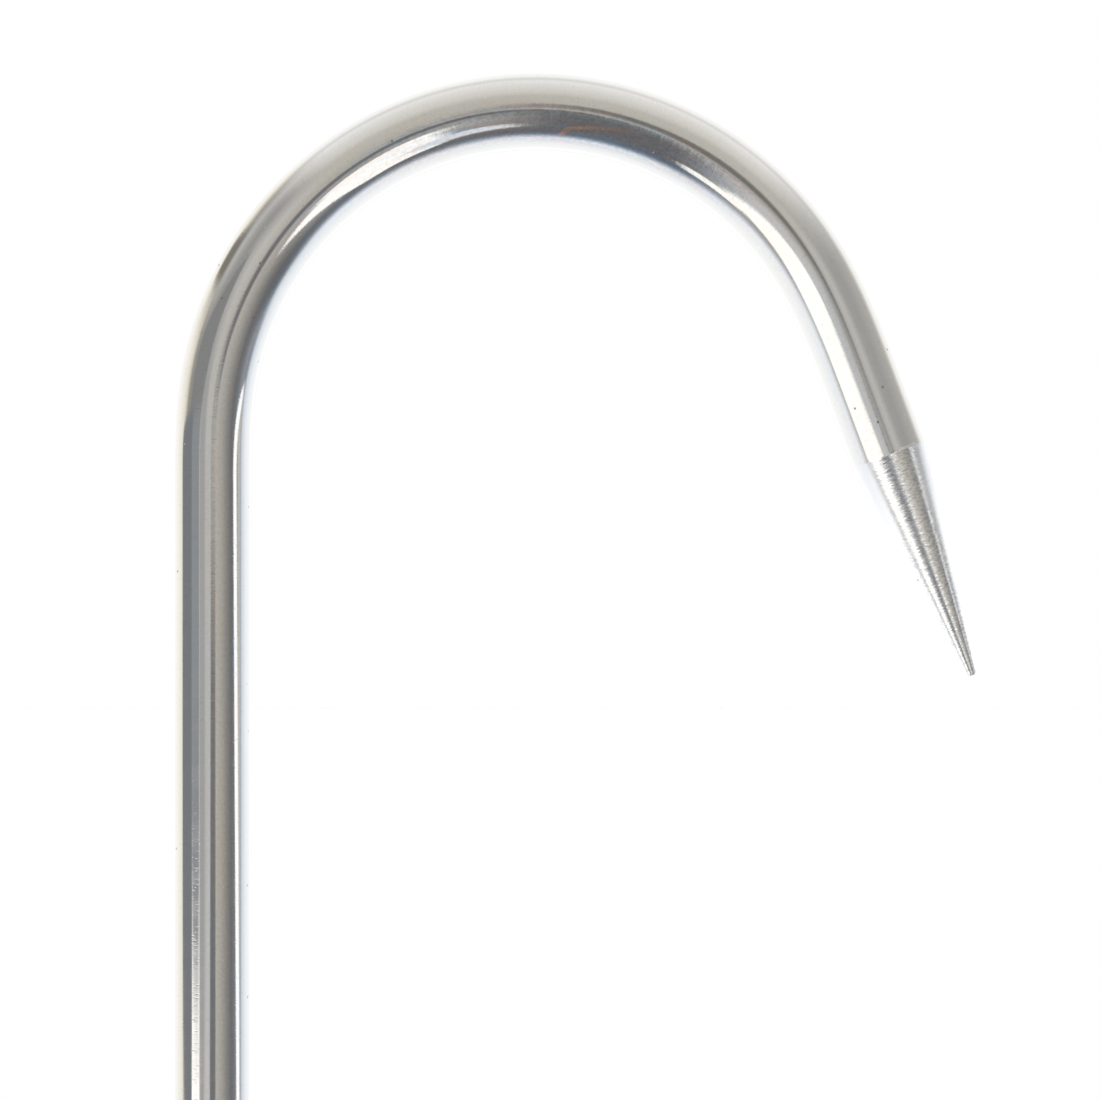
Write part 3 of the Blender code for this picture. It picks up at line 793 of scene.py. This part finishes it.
def turned_steel(name, roughness, mark_depth, painted_shade_mask):
    """Satin steel turned about the shank's axis: fine rings, handling haze, nicks, and painted shade, made rougher
    too, where the given mask puts it.
    """
    made, tree, shader = new_material(name, Base_Color=SATIN_STEEL, Metallic=1.0, Roughness=roughness)
    place = object_place(tree)
    x, y, z = split_xyz(tree, place)
    radius = distance_out(tree, maths(tree, "SUBTRACT", x, SHANK_X * MM), y)
    lathe = joined_xyz(tree, radius, 0.0, z)
    coarse_rings = effect(tree, STRETCHED_MARKS, lathe, 9.0, 9.0, 0.25, 0.75)
    fine_rings = effect(tree, STRETCHED_MARKS, lathe, 26.0, 26.0, 0.30, 0.70)
    haze = effect(tree, STRETCHED_MARKS, place, 0.22, 0.22, 0.25, 0.80)
    nicks = effect(tree, PITS, place, 0.7, 0.09, 0.06)
    scuffs = effect(tree, STRETCHED_MARKS, place, 0.5, 9.0, 0.68, 0.76)
    painted_shade = painted_shade_mask(tree, place, radius)
    colour = mix_colour(tree, times(tree, haze, 0.30), SATIN_STEEL, SATIN_DULL)
    colour = mix_colour(tree, times(tree, coarse_rings, 0.35), colour, SATIN_DULL)
    # Painted shade, near black, where the mask puts it.
    colour = mix_colour(tree, times(tree, painted_shade, PAINTED_SHADE_COVER), colour, PAINTED_SHADE_COLOUR)
    plug(tree, shader.inputs["Base Color"], colour)
    rough = smooth_range(tree, haze, 0.0, 1.0, roughness - 0.03, roughness + 0.04)
    rough = plus(tree, rough, times(tree, painted_shade, 0.35), times(tree, scuffs, 0.12))
    plug(tree, shader.inputs["Roughness"], rough)
    raised(
        tree,
        shader,
        (coarse_rings, mark_depth),
        (fine_rings, mark_depth * 0.4),
        (nicks, -0.006),
        (scuffs, -0.0006),
    )
    return made


def collar_gap_painted_shade(tree, place, radius):
    """Painted shade in the gaps round the rod and round the cross pin."""
    x, _, z = split_xyz(tree, place)
    from_pin = distance_out(
        tree, maths(tree, "SUBTRACT", x, SHANK_X * MM), maths(tree, "SUBTRACT", z, PIN_HEIGHT * MM)
    )
    bore, hole = BORE_RADIUS * MM, PIN_HOLE_RADIUS * MM
    in_bore = fade_out(tree, radius, bore + 0.02, bore + 0.14)
    return maths(tree, "MAXIMUM", in_bore, fade_out(tree, from_pin, hole + 0.01, hole + 0.08))


cross_hole = bar(PIN_HOLE_RADIUS, -2 * FLANGE_RADIUS, 2 * FLANGE_RADIUS)
dowel_hole = bar(DOWEL_HOLE_RADIUS, -OVERCUT, dowel_high.z + FIT_GAP - COLLAR_FOOT)
finished(
    "bolster_collar_turned",
    bored(
        moved(turned(collar_profile()), Vector((SHANK_X, 0.0, COLLAR_FOOT))),
        moved(cross_hole, PIN_PLACE, ALONG_Y),
        moved(dowel_hole, Vector((DOWEL_X, 0.0, COLLAR_FOOT))),
    ),
    turned_steel("satin turned steel", 0.22, 0.0026, collar_gap_painted_shade),
    "bolster_collar",
)

# ---------------------------------------------------------------- cross pin and index dowel
# Two lengths of 2 mm drawn steel with rolled-over ends.  The pin is pressed through collar and rod;
# the dowel stands in the flange and the wood, so that the hook can't turn in the grip.

PIN_END_ROUND = 0.0003
DRAWN_STEEL = (0.52, 0.52, 0.515, 1.0)
DRAWN_DULL = (0.34, 0.33, 0.32, 1.0)


def drawn_steel():
    """Lines from the die along it and a blotchy, slightly dulled face."""
    made, tree, shader = new_material("drawn pin steel", Base_Color=DRAWN_STEEL, Metallic=1.0, Roughness=0.3)
    place = object_place(tree)
    grain = effect(tree, STRETCHED_MARKS, place, 11.0, 3.0, 0.30, 0.72)
    blotches = effect(tree, STRETCHED_MARKS, place, 2.4, 2.4, 0.40, 0.70)
    nicks = effect(tree, PITS, place, 2.6, 0.14, 0.2)
    colour = mix_colour(tree, times(tree, blotches, 0.5), DRAWN_STEEL, DRAWN_DULL)
    plug(tree, shader.inputs["Base Color"], colour)
    plug(tree, shader.inputs["Roughness"], smooth_range(tree, blotches, 0.0, 1.0, 0.24, 0.42))
    raised(tree, shader, (grain, 0.002), (nicks, -0.004))
    return made


pin_steel = drawn_steel()
finished(
    "bolster_pin_rounded",
    moved(bar(PIN_RADIUS, pin_low.y, pin_high.y, PIN_END_ROUND), PIN_PLACE, ALONG_Y),
    pin_steel,
    "bolster_pin",
)
finished(
    "index_dowel_rounded",
    moved(bar(DOWEL_RADIUS, dowel_low.z, dowel_high.z, PIN_END_ROUND), Vector((DOWEL_X, 0.0, 0.0))),
    pin_steel,
    "index_dowel",
)

# ---------------------------------------------------------------- seal ring
# A flat ring of black food-grade rubber, squeezed between the flange and the wood.  Its edge shows
# the mould's parting line, a low fin half way up.

seal_low, seal_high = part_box("seal_ring")
SEAL_RADIUS = (seal_high.x - seal_low.x) / 2
SEAL_THICKNESS = seal_high.z - seal_low.z
SEAL_ROUND = 0.0002
FIN_HEIGHT = 0.00005
RUBBER = (0.022, 0.022, 0.023, 1.0)
RUBBER_BLOOM = (0.075, 0.075, 0.073, 1.0)


def seal_profile():
    outer = SEAL_RADIUS - FIN_HEIGHT
    middle = SEAL_THICKNESS / 2
    profile = arc(outer - SEAL_ROUND, SEAL_ROUND, SEAL_ROUND, -90, 0)
    profile += [(outer, middle - FIN_HEIGHT), (SEAL_RADIUS, middle), (outer, middle + FIN_HEIGHT)]
    profile += arc(outer - SEAL_ROUND, SEAL_THICKNESS - SEAL_ROUND, SEAL_ROUND, 0, 90)
    profile += arc(BORE_RADIUS + SEAL_ROUND, SEAL_THICKNESS - SEAL_ROUND, SEAL_ROUND, 90, 180)
    profile += arc(BORE_RADIUS + SEAL_ROUND, SEAL_ROUND, SEAL_ROUND, 180, 270)
    return profile


def rubber_material():
    """Moulded rubber: a fine matt grain with a faint grey bloom."""
    made, tree, shader = new_material("moulded black rubber", Base_Color=RUBBER, Roughness=0.68)
    place = object_place(tree)
    bloom = effect(tree, STRETCHED_MARKS, place, 0.8, 0.8, 0.42, 0.75)
    grain = effect(tree, STRETCHED_MARKS, place, 16.0, 16.0, 0.30, 0.70)
    plug(tree, shader.inputs["Base Color"], mix_colour(tree, bloom, RUBBER, RUBBER_BLOOM))
    plug(tree, shader.inputs["Roughness"], smooth_range(tree, bloom, 0.0, 1.0, 0.58, 0.78))
    raised(tree, shader, (grain, 0.006), (bloom, 0.004))
    return made


finished(
    "seal_ring_moulded",
    bored(
        moved(turned(seal_profile()), Vector((SHANK_X, 0.0, seal_low.z))),
        moved(bar(DOWEL_HOLE_RADIUS, -OVERCUT, OVERCUT), Vector((DOWEL_X, 0.0, seal_low.z))),
    ),
    rubber_material(),
    "seal_ring",
)

# ---------------------------------------------------------------- grip
# A beech barrel turned between centres, its grain running along it, oiled and worn by the hand.  It
# is bored across for the rod, counterbored on top for the flange and underneath for the nut.

grip_low, grip_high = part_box("grip")
washer_low, washer_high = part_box("rear_washer")
nut_low, nut_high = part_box("sleeve_nut")
GRIP_AXIS_Z = (grip_low.z + grip_high.z) / 2
GRIP_HALF = (grip_high.x - grip_low.x) / 2
GRIP_RADIUS = (grip_high.y - grip_low.y) / 2
GRIP_END_RADIUS = 0.012
GRIP_END_ROUND = 0.005
BARREL_STEPS = 120
GRIP_SIDES = 192
BARREL_MARKS = 0.000006
SEAT_RADIUS = FLANGE_RADIUS + FIT_GAP
SEAT_HEIGHT = seal_low.z - FIT_GAP
WASHER_RADIUS = (washer_high.x - washer_low.x) / 2
POCKET_RADIUS = WASHER_RADIUS + FIT_GAP
POCKET_FLOOR = washer_high.z + FIT_GAP
SLEEVE_WALL = 0.0013
SLEEVE_RADIUS = BORE_RADIUS + SLEEVE_WALL
WASHER_BORE_RADIUS = SLEEVE_RADIUS + FIT_GAP
SLEEVE_BORE_TOP = nut_high.z + FIT_GAP
DOWEL_HOLE_BOTTOM = dowel_low.z - 0.001
PITH_Y = 0.021
PITH_Z = -0.047
RING_WIDTH = 2.3
RING_WANDER = 7.0
RING_WANDER_SCALE = (0.012, 0.07, 0.07)
BEECH_PALE = (0.50, 0.29, 0.145, 1.0)
BEECH_DARK = (0.31, 0.155, 0.068, 1.0)
BEECH_FLECK = (0.17, 0.080, 0.038, 1.0)
BEECH_HANDLED = (0.25, 0.125, 0.058, 1.0)


def barrel_profile():
    """From one end face to the other: a long crowned arc between rounded ends, fine tool marks left on it."""
    shoulder = GRIP_HALF - GRIP_END_ROUND
    swell = GRIP_RADIUS - GRIP_END_RADIUS
    tool = random.Random(11)
    profile = [(0.0, -GRIP_HALF)]
    profile += arc(GRIP_END_RADIUS - GRIP_END_ROUND, -shoulder, GRIP_END_ROUND, -90, 0, 16)
    for step in range(1, BARREL_STEPS):
        station = -1 + 2 * step / BARREL_STEPS
        profile.append((GRIP_RADIUS - swell * station**2 - BARREL_MARKS * tool.random(), shoulder * station))
    profile += arc(GRIP_END_RADIUS - GRIP_END_ROUND, shoulder, GRIP_END_ROUND, 0, 90, 16)
    profile.append((0.0, GRIP_HALF))
    return profile


def grip_bore():
    """One stepped cutter: seat for the flange, bore for the rod, bore for the sleeve, pocket for the nut."""
    outside = GRIP_RADIUS + OVERCUT
    seat = SEAT_HEIGHT - GRIP_AXIS_Z
    sleeve_top = SLEEVE_BORE_TOP - GRIP_AXIS_Z
    floor = POCKET_FLOOR - GRIP_AXIS_Z
    profile = [(0.0, outside), (SEAT_RADIUS, outside), (SEAT_RADIUS, seat), (BORE_RADIUS, seat)]
    profile += [(BORE_RADIUS, sleeve_top), (WASHER_BORE_RADIUS, sleeve_top), (WASHER_BORE_RADIUS, floor)]
    profile += [(POCKET_RADIUS, floor), (POCKET_RADIUS, -outside), (0.0, -outside)]
    return turned(profile)


def growth_ring_group():
    """Growth rings round a pith that runs along X, in millimetres; gives the late wood's share."""
    tree, value, result = new_group("growth rings", ("Vector", "Pith Y", "Pith Z", "Width"), "Late Wood")
    _, y, z = split_xyz(tree, value["Vector"])
    wander = soft_noise(tree, stretched(tree, value["Vector"], RING_WANDER_SCALE))
    across = maths(tree, "SUBTRACT", y, value["Pith Y"])
    down = maths(tree, "SUBTRACT", z, value["Pith Z"])
    radius = maths(tree, "ADD", distance_out(tree, across, down), times(tree, wander, RING_WANDER))
    phase = maths(tree, "FRACT", maths(tree, "DIVIDE", radius, value["Width"]))
    late = times(tree, smooth_range(tree, phase, 0.35, 0.93), fade_out(tree, phase, 0.94, 1.0))
    plug(tree, result, late)
    return tree


def beech_material():
    """Oiled beech: growth rings, long fibres, small brown ray flecks, pores, and a hand-darkened middle."""
    made, tree, shader = new_material("oiled turned beech", Base_Color=BEECH_PALE, Roughness=0.5)
    place = object_place(tree)
    x, y, z = split_xyz(tree, place)
    along = joined_xyz(tree, y, z, x)
    late = effect(tree, growth_ring_group(), place, PITH_Y * MM, (PITH_Z + GRIP_AXIS_Z) * MM, RING_WIDTH)
    fibres = effect(tree, STRETCHED_MARKS, along, 3.2, 0.05, 0.25, 0.75)
    fine_fibres = effect(tree, STRETCHED_MARKS, along, 9.0, 0.22, 0.30, 0.72)
    flecks = effect(tree, STRETCHED_MARKS, along, 4.2, 0.42, 0.625, 0.70)
    pores = effect(tree, STRETCHED_MARKS, along, 15.0, 0.9, 0.60, 0.70)
    blotches = effect(tree, STRETCHED_MARKS, along, 0.10, 0.03, 0.30, 0.72)
    dents = effect(tree, PITS, place, 0.16, 0.17, 0.30)
    handled = fade_out(tree, off_by(tree, x, SHANK_X * MM), 12.0, 50.0)
    handled = times(tree, handled, smooth_range(tree, blotches, 0.0, 1.0, 0.25, 0.62))
    darker = plus(tree, times(tree, late, 0.42), times(tree, fibres, 0.34))
    darker = maths(tree, "ADD", darker, times(tree, fine_fibres, 0.16), clamp=True)
    colour = mix_colour(tree, darker, BEECH_PALE, BEECH_DARK)
    colour = mix_colour(tree, times(tree, handled, 0.8), colour, BEECH_HANDLED)
    colour = mix_colour(tree, times(tree, flecks, 0.6), colour, BEECH_FLECK)
    colour = mix_colour(tree, times(tree, pores, 0.35), colour, BEECH_FLECK)
    plug(tree, shader.inputs["Base Color"], colour)
    rough = smooth_range(tree, fine_fibres, 0.0, 1.0, 0.44, 0.56)
    plug(tree, shader.inputs["Roughness"], maths(tree, "SUBTRACT", rough, times(tree, handled, 0.16)))
    raised(
        tree,
        shader,
        (fine_fibres, 0.010),
        (fibres, 0.012),
        (pores, -0.020),
        (flecks, -0.008),
        (late, 0.010),
        (dents, -0.09),
    )
    return made


grip_centre = Vector((SHANK_X, 0.0, GRIP_AXIS_Z))
ALONG_X = Matrix.Rotation(math.pi / 2, 4, "Y")
finished(
    "grip_turned",
    bored(
        moved(turned(barrel_profile(), GRIP_SIDES), grip_centre, ALONG_X),
        moved(grip_bore(), grip_centre),
        moved(bar(DOWEL_HOLE_RADIUS, DOWEL_HOLE_BOTTOM, SEAT_HEIGHT + OVERCUT), Vector((DOWEL_X, 0.0, 0.0))),
    ),
    beech_material(),
    "grip",
)

# ---------------------------------------------------------------- washers
# On the pocket's floor lies a flat washer, stamped, with one edge rolled and one sharp; under it a
# split spring washer, one short coil, keeps the nut tight as the wood shrinks.

WASHER_THICKNESS = washer_high.z - washer_low.z
WASHER_ROUND = 0.00025
SPRING_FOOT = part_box("spring_washer")[0].z
SPRING_INNER = WASHER_BORE_RADIUS
SPRING_THICKNESS = 0.0015
SPRING_OUTER = SPRING_INNER + SPRING_THICKNESS
SPRING_RISE = 0.0002
SPRING_OPENING = math.radians(9.0)
SPRING_EDGE = 0.0001
SPRING_STEPS = 150


def washer_profile():
    profile = arc(WASHER_RADIUS - WASHER_ROUND, WASHER_ROUND, WASHER_ROUND, -90, 0)
    profile += [(WASHER_RADIUS, WASHER_THICKNESS), (WASHER_BORE_RADIUS, WASHER_THICKNESS)]
    profile += arc(WASHER_BORE_RADIUS + WASHER_ROUND, WASHER_ROUND, WASHER_ROUND, 180, 270)
    return profile


def spring_coil():
    """A square wire with softened corners, spun just short of a full turn as it rises."""
    shape = bmesh.new()
    low, high = SPRING_EDGE, SPRING_THICKNESS - SPRING_EDGE
    near, far = SPRING_INNER + SPRING_EDGE, SPRING_OUTER - SPRING_EDGE
    section = arc(near, low, SPRING_EDGE, 180, 270, 3) + arc(far, low, SPRING_EDGE, 270, 360, 3)
    section += arc(far, high, SPRING_EDGE, 0, 90, 3) + arc(near, high, SPRING_EDGE, 90, 180, 3)
    points = [shape.verts.new((radius, 0.0, height)) for radius, height in section]
    edges = [shape.edges.new((points[index - 1], points[index])) for index in range(len(points))]
    bmesh.ops.spin(
        shape,
        geom=points + edges,
        cent=(0, 0, 0),
        axis=(0, 0, 1),
        dvec=(0, 0, SPRING_RISE / SPRING_STEPS),
        angle=math.tau - SPRING_OPENING,
        steps=SPRING_STEPS,
    )
    bmesh.ops.holes_fill(shape, edges=shape.edges[:], sides=0)
    bmesh.ops.recalc_face_normals(shape, faces=shape.faces)
    return shape


finished(
    "rear_washer_stamped",
    moved(turned(washer_profile()), Vector((SHANK_X, 0.0, washer_low.z))),
    pin_steel,
    "rear_washer",
)
finished(
    "spring_washer_coiled",
    moved(spring_coil(), Vector((SHANK_X, 0.0, SPRING_FOOT))),
    pin_steel,
    "spring_washer",
)

# ---------------------------------------------------------------- sleeve nut
# Turned from stainless bar: a threaded sleeve that reaches up round the rod's end, and a low domed
# head, slotted for a wide screwdriver, that lies just inside the grip's underside.

NUT_HEAD_RADIUS = WASHER_RADIUS - 0.0004
NUT_HEAD_DOME = 0.001
NUT_HEAD_RIM = 0.0015
SLEEVE_FLOOR = 0.0006
SLEEVE_LENGTH = nut_high.z - nut_low.z - NUT_HEAD_DOME - NUT_HEAD_RIM
NUT_SLOT_WIDTH = 0.0012
NUT_SLOT_DEPTH = 0.0011
NUT_EDGE = 0.00012


def nut_profile():
    dome = (NUT_HEAD_RADIUS**2 + NUT_HEAD_DOME**2) / (2 * NUT_HEAD_DOME)
    reach = math.degrees(math.asin((NUT_HEAD_RADIUS - NUT_EDGE) / dome))
    shoulder = NUT_HEAD_DOME + NUT_HEAD_RIM
    top = shoulder + SLEEVE_LENGTH
    profile = [(0.0, 0.0), *arc(0.0, dome, dome, -90, -90 + reach, 24)[1:]]
    profile += [(NUT_HEAD_RADIUS, NUT_HEAD_DOME + NUT_EDGE), (NUT_HEAD_RADIUS, shoulder - NUT_EDGE)]
    profile += [(NUT_HEAD_RADIUS - NUT_EDGE, shoulder), (SLEEVE_RADIUS, shoulder), (SLEEVE_RADIUS, top - NUT_EDGE)]
    profile += [(SLEEVE_RADIUS - NUT_EDGE, top), (BORE_RADIUS, top), (BORE_RADIUS, shoulder + SLEEVE_FLOOR)]
    profile.append((0.0, shoulder + SLEEVE_FLOOR))
    return profile


def slot_tool():
    """The slotting saw's cut, straight across the head."""
    shape = bmesh.new()
    bmesh.ops.create_cube(shape, size=1.0)
    depth = NUT_SLOT_DEPTH + OVERCUT
    bmesh.ops.scale(shape, vec=(4 * NUT_HEAD_RADIUS, NUT_SLOT_WIDTH, depth), verts=shape.verts)
    return moved(shape, Vector((SHANK_X, 0.0, nut_low.z + NUT_SLOT_DEPTH - depth / 2)))


def slot_painted_shade(tree, place, radius):
    """Painted shade in the slot, darker the deeper."""
    _, y, z = split_xyz(tree, place)
    dome = NUT_HEAD_DOME * MM / (NUT_HEAD_RADIUS * MM) ** 2
    depth = maths(tree, "SUBTRACT", z, times(tree, radius, radius, dome))
    depth = maths(tree, "SUBTRACT", depth, nut_low.z * MM)
    wall = NUT_SLOT_WIDTH / 2 * MM
    in_slot = fade_out(tree, maths(tree, "ABSOLUTE", y), wall + 0.01, wall + 0.03)
    return times(tree, smooth_range(tree, depth, 0.1, 0.9), in_slot)


finished(
    "sleeve_nut_slotted",
    bored(moved(turned(nut_profile()), Vector((SHANK_X, 0.0, nut_low.z))), slot_tool()),
    turned_steel("faced nut steel", 0.20, 0.0040, slot_painted_shade),
    "sleeve_nut",
)

# The studio's light and dark stand for everything round the hook, so its pieces don't mirror each other.
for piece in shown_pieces():
    piece.visible_glossy = False
